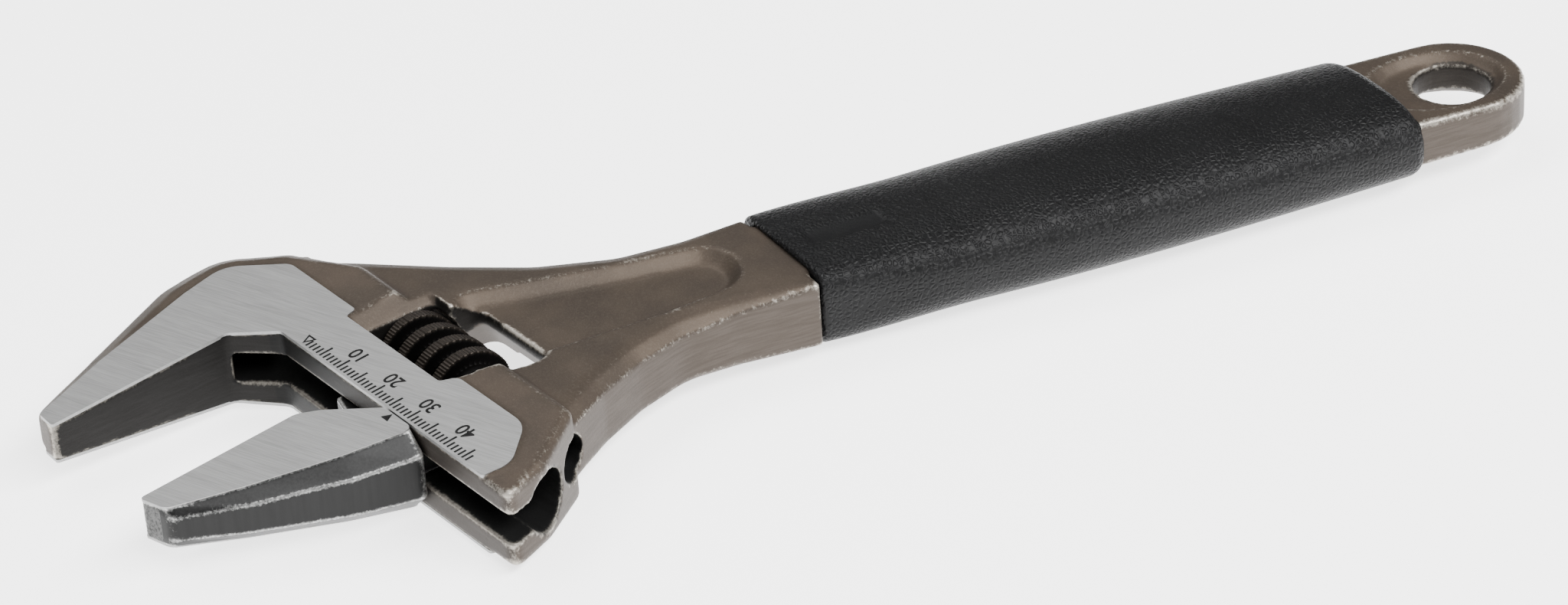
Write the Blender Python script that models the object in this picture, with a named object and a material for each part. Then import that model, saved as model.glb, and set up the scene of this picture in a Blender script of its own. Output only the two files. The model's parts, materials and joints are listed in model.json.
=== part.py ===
"""Adjustable wrench with a wide jaw, a worm-driven sliding jaw and a soft grip sleeve.

World frame: +X runs along the handle towards the hang hole, +Z is up when the wrench
lies flat, and the origin is the middle of the bottom of the bounding box.
Head frame (used by everything in the head): x is the way the sliding jaw opens,
y runs from the jaw tips towards the handle, z is up, and y = 0 is the slide face.
Sizes are in millimetres and are turned into metres when a mesh is made.
"""

import math

import bmesh
import bpy
import numpy as np
from mathutils import Vector

MM = 0.001

# Overall layout
HEAD_ANGLE = math.radians(14.3)      # between the jaw faces and the handle axis
HEAD_START = 39.05                   # from the jaw tips to the head origin, along the handle
AXIS_SIDE = 19.6                     # from the head origin to the handle axis, sideways
BOX_SIDE = 21.793                    # from the head origin to the middle of the box, sideways
BODY_LENGTH = 259.1                  # jaw tips to the end of the hang eye
CLEARANCE = 0.3                      # gap between pieces that touch or slide

# Head thickness: a wedge, thin at the jaw tips
GROUND_HALF = 7.2                    # half thickness of the ground faces at the slide face
WEDGE = math.tan(math.radians(5.26))
FORGED_DROP = 0.35                   # forged skin below the ground faces

# Jaws
JAW_LENGTH = 39.6
THROAT = 6.4
OPENING = 27.4                       # jaw gap as modelled
JAW_BULGE = 3.4                      # the jaw's flank is wider than its ground faces by this
EAR_X = 70.2

# Slide: the stem and the round bar of the sliding jaw
BAR_Y = 9.28
BAR_RADIUS = 4.55
BAR_BEHIND = 19.0                    # bar length on the fixed-jaw side of the jaw face
BAR_AHEAD = 17.0                     # bar length on the other side
STEM_HALF = 2.35
STEM_BEHIND = 5.0

# Worm (adjusting knurl), its pin and its spring
KNURL_Y = 18.9
KNURL_RADIUS = 6.9
THREAD_DEPTH = 2.1
PITCH = 4.95
THREAD_CREST = 1.5
THREAD_ROOT = 2.3
FIRST_CREST = 0.95                   # from the knurl's front end to its first crest
TOOTH_GAP = 0.75                     # play of the thread in the rack's grooves
KNURL_START = 14.3
KNURL_LENGTH = 20.0
PIN_RADIUS = 2.2
PIN_HEAD_RADIUS = 3.2
PIN_HEAD_LENGTH = 11.0
PIN_START = 6.0
PIN_END = 54.5
SOCKET_RADIUS = 1.75
SOCKET_DEPTH = 3.0
SPRING_WIRE = 0.45
SPRING_RADIUS = 3.6
SPRING_TURNS = 3

# Window for the knurl
WINDOW_FRONT = 9.9
WINDOW_BACK = 29.6
WINDOW_LIP = 4.4                     # the back of the window is narrower by this much
WINDOW_LIP_START = 22.6
RAMP_START = 3.4                     # thumb ramp under the window: height of its upper end
RAMP_REACH = 7.4                     # and how far it runs towards the handle
WINDOW_NEAR = 37.5                   # near wall at the front of the window
HEAD_BACK = 20.5                     # the thick head block ends here
HEAD_RIM = 1.6                       # bevel round the back of the head block

# Handle, along the handle from the head origin (p) and sideways from its axis (q)
HANDLE_HALF = 7.2                    # half thickness at the head
EYE_HALF = 4.07                      # half thickness at the hang eye
EYE_RADIUS = 12.4
EYE_BORE = 6.7
HANDLE_RIM = 4.0                     # sloping margin of the neck's faces
EDGE_RIM = 0.9                       # and of the core and the eye
RIM_FADE = 18.0                      # the wide margin fades over this length before the sleeve
NECK_START = 14.0
TANG_WIDTH = 18.0
SLANT = 0.13                         # lean of the sleeve's two ends
GRIP_START = 83.0
GRIP_LENGTH = 110.0
WEB_DEPTH = 2.2

ROUND = 24                           # sides of small round features

EYE_P = BODY_LENGTH - HEAD_START - EYE_RADIUS
TAPER = (HANDLE_HALF - EYE_HALF) / (EYE_P - 10.0)


# ---------------------------------------------------------------- outlines

def rounded(corners, steps=4):
    """Closed outline through corners (x, y, radius), each corner turned into an arc."""
    points = []
    count = len(corners)
    for index, (x, y, radius) in enumerate(corners):
        here = Vector((x, y))
        if radius == 0.0:
            points.append((x, y))
            continue
        before = Vector(corners[index - 1][:2]) - here
        after = Vector(corners[(index + 1) % count][:2]) - here
        half = before.angle(after) / 2.0
        reach = min(radius / math.tan(half), 0.48 * before.length, 0.48 * after.length)
        start = here + before.normalized() * reach
        end = here + after.normalized() * reach
        for step in range(steps + 1):
            t = step / steps
            bend = start * (1 - t) ** 2 + here * (2 * t * (1 - t)) + end * t ** 2
            points.append((bend.x, bend.y))
    return points


def to_handle(x, y):
    """Head-frame point to handle coordinates (p along the handle, q sideways)."""
    p = x * math.sin(HEAD_ANGLE) + y * math.cos(HEAD_ANGLE)
    q = -x * math.cos(HEAD_ANGLE) + y * math.sin(HEAD_ANGLE) + AXIS_SIDE
    return p, q


def to_head(p, q):
    """Handle coordinates to a head-frame point."""
    side = q - AXIS_SIDE
    x = p * math.sin(HEAD_ANGLE) - side * math.cos(HEAD_ANGLE)
    y = p * math.cos(HEAD_ANGLE) + side * math.sin(HEAD_ANGLE)
    return x, y


def signed_area(points):
    ring = np.array(points)
    following = np.roll(ring, -1, axis=0)
    return 0.5 * float(np.sum(ring[:, 0] * following[:, 1] - following[:, 0] * ring[:, 1]))


def inset_ring(points, amounts):
    """Each point moved inwards by its own amount, square to the outline."""
    ring = np.array(points)
    along = np.roll(ring, -1, axis=0) - np.roll(ring, 1, axis=0)
    along = along / np.linalg.norm(along, axis=1, keepdims=True)
    inward = np.stack([-along[:, 1], along[:, 0]], axis=1)
    return ring + inward * np.array(amounts)[:, None]


# ---------------------------------------------------------------- meshes

def new_object(name, mesh, material):
    mesh.materials.append(material)
    item = bpy.data.objects.new(name, mesh)
    bpy.context.scene.collection.objects.link(item)
    return item


def closed_mesh(name, rings):
    """Mesh skinned over a list of equal rings of (x, y, z) in mm, both ends capped."""
    shape = bmesh.new()
    rows = [[shape.verts.new(Vector(point) * MM) for point in ring] for ring in rings]
    for lower, upper in zip(rows, rows[1:]):
        for index in range(len(lower)):
            following = (index + 1) % len(lower)
            shape.faces.new((lower[index], lower[following], upper[following], upper[index]))
    shape.faces.new(list(reversed(rows[0])))
    shape.faces.new(rows[-1])
    bmesh.ops.recalc_face_normals(shape, faces=shape.faces)
    mesh = bpy.data.meshes.new(name)
    shape.to_mesh(mesh)
    shape.free()
    return mesh


def plate(name, points, half, rim_inset=0.0, rim_drop=1.0, rim_steps=()):
    """Plate over an outline, with half(x, y) as its half thickness and a bevelled rim.

    rim_inset is one amount, or one for each point of the outline. rim_steps are shares of
    the rim's width where it bends, which makes it round.
    """
    if signed_area(points) < 0:
        points = points[::-1]
        if not np.isscalar(rim_inset):
            rim_inset = rim_inset[::-1]
    amounts = np.broadcast_to(np.array(rim_inset, dtype=float), (len(points),))
    inner = inset_ring(points, amounts)
    rings = []
    for side in (-1.0, 1.0):
        face = [(x, y, side * half(x, y)) for x, y in inner]
        if float(np.max(amounts)) == 0.0:
            rings.append(face)
            continue
        levels = [face]
        for share in rim_steps + (1.0,):
            ring = inset_ring(points, amounts * (1.0 - share))
            drops = np.minimum(rim_drop * amounts, [half(x, y) * 0.6 for x, y in points])
            drops = drops * share ** 2
            levels.append([(x, y, side * (half(x, y) - drop)) for (x, y), drop in zip(ring, drops)])
        rings.extend(levels if side < 0 else levels[::-1])
    return closed_mesh(name, rings)


def cylinder(name, radius, x_from, x_to, y, sides=ROUND):
    """Cylinder along x at height 0."""
    angles = [2 * math.pi * k / sides for k in range(sides)]
    rings = []
    for x in (x_from, x_to):
        rings.append([(x, y + radius * math.cos(a), radius * math.sin(a)) for a in angles])
    return closed_mesh(name, rings)


def turned(name, profile, y, sides=ROUND):
    """Solid turned about the x direction from (x, radius) pairs."""
    angles = [2 * math.pi * k / sides for k in range(sides)]
    rings = []
    for x, radius in profile:
        rings.append([(x, y + radius * math.cos(a), radius * math.sin(a)) for a in angles])
    return closed_mesh(name, rings)


def tool(mesh, parent=None):
    """Hidden object that cuts or joins another one."""
    item = bpy.data.objects.new("tool_" + mesh.name, mesh)
    bpy.context.scene.collection.objects.link(item)
    item.hide_render = True
    item.display_type = 'WIRE'
    if parent:
        item.parent = parent
    return item


def boolean(item, other, operation, solver='EXACT'):
    modifier = item.modifiers.new(operation.lower() + "_" + other.name, 'BOOLEAN')
    modifier.operation = operation
    modifier.object = other
    modifier.solver = solver


def material(name, colour, roughness, metallic):
    made = bpy.data.materials.new(name)
    made.use_nodes = True
    shader = made.node_tree.nodes["Principled BSDF"]
    shader.inputs["Base Color"].default_value = (*colour, 1.0)
    shader.inputs["Roughness"].default_value = roughness
    shader.inputs["Metallic"].default_value = metallic
    return made


def shade(item, degrees=35):
    item.data.shade_smooth()
    item.data.set_sharp_from_angle(angle=math.radians(degrees))


# ---------------------------------------------------------------- half thicknesses

def ground_half(x, y):
    return GROUND_HALF + WEDGE * y


def forged_half(x, y):
    return GROUND_HALF + WEDGE * y - FORGED_DROP


def handle_half(x, y):
    p, _ = to_handle(x, y)
    return HANDLE_HALF - TAPER * max(p - 10.0, 0.0)


def flat_half(amount):
    return lambda x, y: amount


# ---------------------------------------------------------------- body

def head_outline():
    """Head block, from the fixed-jaw tip round the throat, the ear and the back."""
    corners = [
        (0.0, -JAW_LENGTH, 1.2, 0.0),
        (0.0, -THROAT, 2.0, 0.0),
        (THROAT, 0.0, 2.0, 0.0),
        (EAR_X, 0.0, 1.6, 0.6),
        (EAR_X - 3.2, 9.0, 8.0, HEAD_RIM),
        (58.8, HEAD_BACK, 3.0, HEAD_RIM),
        (0.0, HEAD_BACK, 3.0, HEAD_RIM),
        (-13.5, HEAD_BACK - 4.2, 6.0, 4.2),
        (-24.2, 7.0, 14.0, 5.2),
        (-22.4, -7.0, 14.0, 5.0),
        (-13.2, -26.0, 14.0, 3.8),
        (-5.6, -JAW_LENGTH + 0.6, 2.0, 1.0),
    ]
    points = []
    insets = []
    count = len(corners)
    for index in range(count):
        arc = rounded([corners[k % count][:3] for k in (index - 1, index, index + 1)])
        step = 5
        points.extend(arc[step:2 * step])
        insets.extend([corners[index][3]] * step)
    return points, insets


def ground_outline():
    """Ground face of the fixed jaw and the ruler."""
    return rounded([
        (0.0, -JAW_LENGTH + 0.2, 0.5),
        (0.0, -THROAT, 2.0),
        (THROAT, 0.0, 2.0),
        (EAR_X - 7.0, 0.0, 0.6),
        (EAR_X - 6.2, 5.0, 6.0),
        (EAR_X - 13.0, 12.3, 6.0),
        (39.0, 12.3, 2.0),
        (WINDOW_NEAR, WINDOW_FRONT - 0.3, 1.0),
        (11.0, WINDOW_FRONT - 0.3, 0.8),
        (10.6, 11.7, 0.8),
        (-8.6, 11.7, 3.0),
        (-16.6, 3.6, 6.0),
        (-15.0, -5.0, 12.0),
        (-9.4, -24.4, 12.0),
        (-4.2, -JAW_LENGTH + 0.4, 1.0),
    ])


def handle_outline():
    """Neck, tang and the round hang eye, in handle coordinates turned to the head frame."""
    shoulder = GRIP_START - CLEARANCE
    near = [(26.0, -36.0, 0.0), (34.0, -31.8, 8.0), (42.0, -24.8, 10.0), (50.5, -19.0, 12.0),
            (60.0, -14.6, 16.0), (70.0, -13.3, 16.0), (shoulder + SLANT * 13.2, -13.2, 0.6)]
    far = [(shoulder - SLANT * 11.8, 11.8, 0.6), (70.0, 11.5, 16.0), (58.0, 12.4, 16.0),
           (46.0, 15.8, 14.0), (34.0, 22.2, 12.0), (21.0, 30.2, 10.0), (10.0, 36.5, 4.0)]
    tang = tang_side(0.0)
    turns = 14
    eye = []
    for k in range(turns + 1):
        angle = -math.pi / 2.0 + math.pi * k / turns
        eye.append((EYE_P + EYE_RADIUS * math.cos(angle), EYE_RADIUS * math.sin(angle), 0.0))
    front = [(p, -q, 0.0) for p, q in tang]
    back = [(p, q, 0.0) for p, q in reversed(tang)]
    front[0] = (tang[0][0] + SLANT * tang[0][1], -tang[0][1], 0.0)
    back[-1] = (tang[0][0] - SLANT * tang[0][1], tang[0][1], 0.0)
    corners = near + front + eye + back + far + [(12.0, 4.0, 0.0)]
    return [to_head(p, q) for p, q in rounded(corners)]


def tang_side(margin):
    """Half width of the core inside the sleeve, from its shoulder to the eye, as (p, q)."""
    half = TANG_WIDTH / 2.0
    shoulder = GRIP_START - CLEARANCE
    return [
        (shoulder, half + margin),
        (GRIP_START + GRIP_LENGTH * 0.35, half + margin),
        (GRIP_START + GRIP_LENGTH * 0.55, EYE_RADIUS + margin),
    ]


def handle_rims(points):
    """Rim widths of the handle: wide on the neck, fading to narrow at the sleeve and on the eye."""
    rims = []
    for x, y in points:
        p, _ = to_handle(x, y)
        share = min(max((GRIP_START - 2.0 - p) / RIM_FADE, 0.0), 1.0) if p > NECK_START else 0.0
        rims.append(EDGE_RIM + (HANDLE_RIM - EDGE_RIM) * share)
    return rims


def window_outline():
    lean = math.tan(HEAD_ANGLE) * (WINDOW_BACK - WINDOW_FRONT)
    start = KNURL_START - CLEARANCE
    return rounded([
        (start, WINDOW_FRONT, 0.4),
        (WINDOW_NEAR, WINDOW_FRONT, 0.4),
        (WINDOW_NEAR + lean, WINDOW_BACK, 5.0),
        (start + WINDOW_LIP, WINDOW_BACK, 5.0),
        (start + WINDOW_LIP, WINDOW_LIP_START, 0.6),
        (start, WINDOW_LIP_START, 0.6),
    ])


def ramp_cutter():
    """Thumb ramp on the underside: the window's back wall falls away towards the handle."""
    lean = math.tan(HEAD_ANGLE) * (WINDOW_BACK - WINDOW_FRONT)
    low = -GROUND_HALF - 4.0
    slope = RAMP_REACH / (RAMP_START + HANDLE_HALF)
    rings = []
    for z in (low, RAMP_START):
        back = WINDOW_BACK - 0.6 + slope * (RAMP_START - z)
        side = 1.2 * (RAMP_START - z)
        start = KNURL_START + WINDOW_LIP + 1.6
        end = WINDOW_NEAR + lean - 1.6
        ring = rounded([(start - side * 0.6, WINDOW_BACK - 4.0, 0.5), (end, WINDOW_BACK - 4.0, 0.5),
                        (end, back, 3.0), (start - side * 0.6, back, 3.0)])
        rings.append([(x, y, z) for x, y in ring])
    return closed_mesh("ramp", rings)


def web_outline():
    """Floor of the recessed panel along the handle, from the window to a round end."""
    end = GRIP_START - 10.0
    return [to_head(p, q) for p, q in rounded([
        (30.0, -10.4, 1.0),
        (58.0, -7.6, 10.0),
        (end, -4.6, 6.0),
        (end, 4.2, 6.0),
        (56.0, 5.4, 10.0),
        (31.0, 8.6, 2.0),
    ])]


def web_cutter(name, side):
    """Tapered block that sinks the handle panel on one side."""
    outline = web_outline()
    if signed_area(outline) < 0:
        outline = outline[::-1]
    floor = [(x, y, side * (handle_half(x, y) - WEB_DEPTH)) for x, y in outline]
    wide = inset_ring(outline, [-2.2 * WEB_DEPTH] * len(outline))
    top = [(x, y, side * (handle_half(x, y) + WEB_DEPTH)) for x, y in wide]
    return closed_mesh(name, [floor, top] if side > 0 else [top, floor])


def relief_cutter(name, side):
    """Scoop beside the knurl where the skin falls towards the window."""
    front = WINDOW_FRONT - 0.2
    back = WINDOW_BACK - 5.0
    start = KNURL_START - CLEARANCE
    section = [(10.8, GROUND_HALF + 1.0), (start + 0.5, 5.2), (start + 6.0, 5.2),
               (start + 6.0, 12.0), (10.8, 12.0)]
    return closed_mesh(name, [[(x, y, side * z) for x, z in section] for y in (front, back)])


def dish_cutter(name, side):
    """Long oval dish round the hang hole."""
    rings = []
    for depth, length, width in ((1.7, 10.6, 7.6), (0.0, 12.4, 9.6), (-1.0, 13.4, 10.6)):
        ring = []
        for k in range(ROUND):
            angle = 2 * math.pi * k / ROUND
            p = EYE_P - 3.0 + length * math.cos(angle)
            x, y = to_head(p, width * math.sin(angle))
            ring.append((x, y, side * (EYE_HALF - depth)))
        rings.append(ring)
    return closed_mesh(name, rings)


def eye_bore():
    ring = []
    for k in range(ROUND):
        angle = 2 * math.pi * k / ROUND
        ring.append(to_head(EYE_P + EYE_BORE * math.cos(angle), EYE_BORE * math.sin(angle)))
    return plate("eye_bore", ring, flat_half(10.0))


def slot_cutter():
    half = STEM_HALF + CLEARANCE
    start = -STEM_BEHIND - CLEARANCE
    front = -THROAT + 0.5
    points = [(start, front), (EAR_X + 5.0, front), (EAR_X + 5.0, BAR_Y), (start, BAR_Y)]
    return plate("slot", points, flat_half(half))


def build_body(frame, finish):
    outline, insets = head_outline()
    body = new_object("body", plate("body", outline, forged_half, insets, 0.9, (0.55,)), finish)
    body.parent = frame
    adds = [
        plate("ground", ground_outline(), ground_half),
        plate("handle", handle_outline(), handle_half, handle_rims(handle_outline()), 0.55, (0.5,)),
    ]
    bore = BAR_RADIUS + CLEARANCE
    cuts = [
        plate("window", window_outline(), flat_half(12.0)),
        cylinder("knurl_room", KNURL_RADIUS + 0.5, KNURL_START - CLEARANCE,
                 WINDOW_NEAR + 1.0, KNURL_Y, 40),
        ramp_cutter(),
        relief_cutter("relief_top", 1),
        relief_cutter("relief_bottom", -1),
        dish_cutter("dish_top", 1),
        dish_cutter("dish_bottom", -1),
        eye_bore(),
        slot_cutter(),
        cylinder("slide_bore", bore, -BAR_BEHIND - CLEARANCE, EAR_X + 6.0, BAR_Y),
        turned("pin_bore", [
            (PIN_START - CLEARANCE, PIN_RADIUS + CLEARANCE),
            (PIN_END - PIN_HEAD_LENGTH - CLEARANCE, PIN_RADIUS + CLEARANCE),
            (PIN_END - PIN_HEAD_LENGTH - CLEARANCE + 0.01, PIN_HEAD_RADIUS + CLEARANCE),
            (EAR_X + 6.0, PIN_HEAD_RADIUS + CLEARANCE),
        ], KNURL_Y),
    ]
    for mesh in adds:
        boolean(body, tool(mesh, frame), 'UNION')
    for name, side in (("web_top", 1), ("web_bottom", -1)):
        boolean(body, tool(web_cutter(name, side), frame), 'DIFFERENCE', 'MANIFOLD')
    for mesh in cuts:
        boolean(body, tool(mesh, frame), 'DIFFERENCE')
    shade(body)
    return body


# ---------------------------------------------------------------- sliding jaw

def jaw_outline(spread):
    """Sliding jaw block seen from above, with its outer flank moved out by spread."""
    tip = JAW_LENGTH + 0.4
    return rounded([
        (OPENING, -tip, 0.8),
        (OPENING, -11.0, 2.5),
        (OPENING + 2.2, -7.6, 3.0),
        (OPENING + 9.4, -CLEARANCE, 0.4),
        (OPENING + 17.4 + spread, -CLEARANCE, 1.4),
        (OPENING + 14.8 + spread, -12.0, 12.0),
        (OPENING + 9.9 + spread * 0.7, -27.0, 12.0),
        (OPENING + 5.4 + spread * 0.3, -tip + 1.5, 2.5),
    ])


def jaw_block():
    """Jaw solid: narrow ground faces above and below a wider middle."""
    wide = jaw_outline(JAW_BULGE)
    narrow = jaw_outline(0.0)
    rings = []
    for side in (-1, 1):
        face = [(x, y, side * ground_half(x, y)) for x, y in narrow]
        edge = [(x, y, side * ground_half(x, y) * 0.55) for x, y in wide]
        rings.extend([face, edge] if side < 0 else [edge, face])
    return closed_mesh("sliding_jaw", rings)


def tooth_cutter(index, middle):
    """One groove of the rack, leaning with the lead of the thread."""
    lead = PITCH / (2 * math.pi * (KNURL_RADIUS - THREAD_DEPTH / 2.0))
    deep = (THREAD_CREST + TOOTH_GAP) / 2.0
    wide = deep + (PITCH - THREAD_CREST - THREAD_ROOT) / 2.0 * 1.1
    floor = KNURL_Y - KNURL_RADIUS - CLEARANCE
    top = BAR_Y + BAR_RADIUS + 0.3
    rings = []
    for z in (-BAR_RADIUS - 1.0, BAR_RADIUS + 1.0):
        x = middle + lead * z
        rings.append([(x - deep, floor, z), (x + deep, floor, z), (x + wide, top, z), (x - wide, top, z)])
    return closed_mesh("tooth_%d" % index, rings)


def build_jaw(frame, finish):
    jaw = new_object("movable_jaw", jaw_block(), finish)
    jaw.parent = frame
    stem = [(OPENING - STEM_BEHIND, -CLEARANCE - 0.2), (OPENING + BAR_AHEAD, -CLEARANCE - 0.2),
            (OPENING + BAR_AHEAD, BAR_Y), (OPENING - STEM_BEHIND, BAR_Y)]
    # The stem grows out of the block, so it starts inside it and not at the slide face.
    inside = [(OPENING + 8.0, -4.0), (OPENING + BAR_AHEAD - 2.0, -4.0)]
    stem = [stem[0], inside[0], inside[1], stem[1], stem[2], stem[3]]
    boolean(jaw, tool(plate("stem", stem, flat_half(STEM_HALF)), frame), 'UNION')
    bar = cylinder("bar", BAR_RADIUS, OPENING - BAR_BEHIND, OPENING + BAR_AHEAD, BAR_Y)
    boolean(jaw, tool(bar, frame), 'UNION')
    thread = KNURL_START + FIRST_CREST
    first = math.ceil((OPENING - BAR_BEHIND - thread - PITCH) / PITCH)
    last = math.floor((OPENING + BAR_AHEAD - thread + PITCH) / PITCH)
    for index in range(first, last + 1):
        boolean(jaw, tool(tooth_cutter(index - first, thread + index * PITCH), frame), 'DIFFERENCE')
    shade(jaw)
    return jaw


# ---------------------------------------------------------------- knurl, pin, spring

def thread_height(phase):
    """Share of the full thread depth at a place along one pitch (0 is the crest)."""
    away = abs((phase + 0.5) % 1.0 - 0.5) * PITCH
    flank = (PITCH - THREAD_CREST - THREAD_ROOT) / 2.0
    return min(max(1.0 - (away - THREAD_CREST / 2.0) / flank, 0.0), 1.0)


def build_knurl(frame, finish):
    """Worm with one left-hand thread, turned about its own origin."""
    rows = 48
    root = KNURL_RADIUS - THREAD_DEPTH
    start = -KNURL_LENGTH / 2.0
    shape = bmesh.new()
    rings = []
    for row in range(rows + 1):
        x = start + KNURL_LENGTH * row / rows
        from_end = min(row, rows - row) * KNURL_LENGTH / rows
        ring = []
        for k in range(ROUND):
            angle = 2 * math.pi * k / ROUND
            phase = (x - start - FIRST_CREST) / PITCH - angle / (2 * math.pi)
            radius = root + THREAD_DEPTH * thread_height(phase)
            radius = min(radius, root + 0.2 + 1.6 * from_end)
            # The angle runs from the jaw side (-y) up to +z.
            spot = Vector((x, -radius * math.cos(angle), radius * math.sin(angle)))
            ring.append(shape.verts.new(spot * MM))
        rings.append(ring)
    hole = PIN_RADIUS + CLEARANCE
    for x in (-start, start):
        ring = []
        for k in range(ROUND):
            angle = 2 * math.pi * k / ROUND
            ring.append(shape.verts.new(Vector((x, -hole * math.cos(angle), hole * math.sin(angle))) * MM))
        rings.append(ring)
    for index, lower in enumerate(rings):
        upper = rings[(index + 1) % len(rings)]
        for k in range(ROUND):
            following = (k + 1) % ROUND
            shape.faces.new((lower[k], lower[following], upper[following], upper[k]))
    bmesh.ops.recalc_face_normals(shape, faces=shape.faces)
    mesh = bpy.data.meshes.new("adjusting_knurl")
    shape.to_mesh(mesh)
    shape.free()
    knurl = new_object("adjusting_knurl", mesh, finish)
    knurl.parent = frame
    knurl.location = Vector((KNURL_START + KNURL_LENGTH / 2.0, KNURL_Y, 0.0)) * MM
    shade(knurl, 30)
    return knurl


def build_pin(frame, finish):
    head = PIN_END - PIN_HEAD_LENGTH
    profile = [(PIN_START, PIN_RADIUS - 0.4), (PIN_START + 0.4, PIN_RADIUS), (head, PIN_RADIUS),
               (head + 0.01, PIN_HEAD_RADIUS), (PIN_END - 0.4, PIN_HEAD_RADIUS),
               (PIN_END, PIN_HEAD_RADIUS - 0.4)]
    pin = new_object("spindle_pin", turned("spindle_pin", profile, KNURL_Y), finish)
    pin.parent = frame
    socket = cylinder("socket", SOCKET_RADIUS, PIN_END - SOCKET_DEPTH, PIN_END + 1.0, KNURL_Y, 6)
    boolean(pin, tool(socket, frame), 'DIFFERENCE')
    shade(pin)
    return pin


def build_spring(frame, finish):
    """Short coil between the knurl and the near wall of the window."""
    start = KNURL_START + KNURL_LENGTH + CLEARANCE + SPRING_WIRE
    lean = math.tan(HEAD_ANGLE) * (KNURL_Y - SPRING_RADIUS - WINDOW_FRONT)
    end = WINDOW_NEAR + lean - CLEARANCE - 2 * SPRING_WIRE
    per_turn = 14
    sides = 6
    steps = SPRING_TURNS * per_turn
    centres = []
    for step in range(steps + 1):
        angle = 2 * math.pi * step / per_turn
        x = start + (end - start) * step / steps
        centres.append(Vector((x, KNURL_Y + SPRING_RADIUS * math.cos(angle), SPRING_RADIUS * math.sin(angle))))
    rings = []
    for step, centre in enumerate(centres):
        angle = 2 * math.pi * step / per_turn
        outward = Vector((0.0, math.cos(angle), math.sin(angle)))
        along = Vector((1.0, 0.0, 0.0))
        ring = []
        for k in range(sides):
            turn = 2 * math.pi * k / sides
            ring.append(centre + (outward * math.cos(turn) + along * math.sin(turn)) * SPRING_WIRE)
        rings.append(ring)
    spring = new_object("knurl_spring", closed_mesh("knurl_spring", rings), finish)
    spring.parent = frame
    shade(spring, 60)
    return spring


# ---------------------------------------------------------------- grip sleeve

def grip_half_sizes(p):
    """Half width and half thickness of the grip at p, swelling towards the palm."""
    share = (p - GRIP_START) / GRIP_LENGTH
    swell = math.sin(math.pi * min(max(share, 0.0), 1.0) ** 0.8)
    width = 12.9 + 1.9 * share + 1.8 * swell
    thick = 7.3 + 0.2 * share + 1.0 * swell
    return width, thick


def grip_section(p, shrink):
    """Rounded-rectangle ring across the handle at p, as a superellipse."""
    width, thick = grip_half_sizes(p)
    ring = []
    sides = 28
    power = 2.0 / 2.7
    for k in range(sides):
        angle = 2 * math.pi * (k + 0.5) / sides
        c, s = math.cos(angle), math.sin(angle)
        q = (width - shrink) * math.copysign(abs(c) ** power, c)
        z = (thick - shrink) * math.copysign(abs(s) ** power, s)
        x, y = to_head(p - SLANT * q, q)
        ring.append((x, y, z))
    return ring


def build_grip(frame, finish):
    """Sleeve with a rounded end, bored through for the tang."""
    end = GRIP_START + GRIP_LENGTH
    rings = [grip_section(GRIP_START, 0.5)]
    body_steps = 14
    for step in range(body_steps + 1):
        rings.append(grip_section(GRIP_START + 0.8 + (GRIP_LENGTH - 4.8) * step / body_steps, 0.0))
    for along, shrink in ((2.4, 0.2), (0.8, 0.8), (0.0, 1.6)):
        rings.append(grip_section(end - along, shrink))
    grip = new_object("grip_sleeve", closed_mesh("grip_sleeve", rings), finish)
    grip.parent = frame
    margin = CLEARANCE
    side = tang_side(margin)
    side = [(side[0][0] - 6.0, side[0][1])] + side[1:] + [(end + 10.0, side[-1][1])]
    corners = [(p, -q) for p, q in side] + [(p, q) for p, q in reversed(side)]
    points = [to_head(p, q) for p, q in corners]
    bore = plate("tang_bore", points, lambda x, y: handle_half(x, y) + margin)
    boolean(grip, tool(bore, frame), 'DIFFERENCE')
    shade(grip)
    return grip


def main():
    for item in list(bpy.data.objects):
        bpy.data.objects.remove(item, do_unlink=True)
    frame = bpy.data.objects.new("head_frame", None)
    bpy.context.scene.collection.objects.link(frame)
    frame.rotation_euler = (0.0, 0.0, HEAD_ANGLE - math.pi / 2.0)
    lift = forged_half(0.0, HEAD_BACK - HEAD_RIM)
    frame.location = Vector((HEAD_START - BODY_LENGTH / 2.0, BOX_SIDE, lift)) * MM
    forged = material("forged_steel", (0.17, 0.145, 0.12), 0.45, 0.9)
    ground = material("ground_steel", (0.52, 0.52, 0.51), 0.35, 1.0)
    dark = material("dark_steel", (0.05, 0.042, 0.035), 0.45, 0.9)
    bright = material("bright_steel", (0.45, 0.45, 0.45), 0.3, 1.0)
    rubber = material("grip_rubber", (0.02, 0.02, 0.021), 0.5, 0.0)
    build_body(frame, forged)
    build_jaw(frame, ground)
    build_knurl(frame, dark)
    build_pin(frame, bright)
    build_spring(frame, bright)
    build_grip(frame, rubber)


main()
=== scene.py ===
import json
import math

import bmesh
import bpy
import numpy as np
from mathutils import Matrix, Vector


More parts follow.
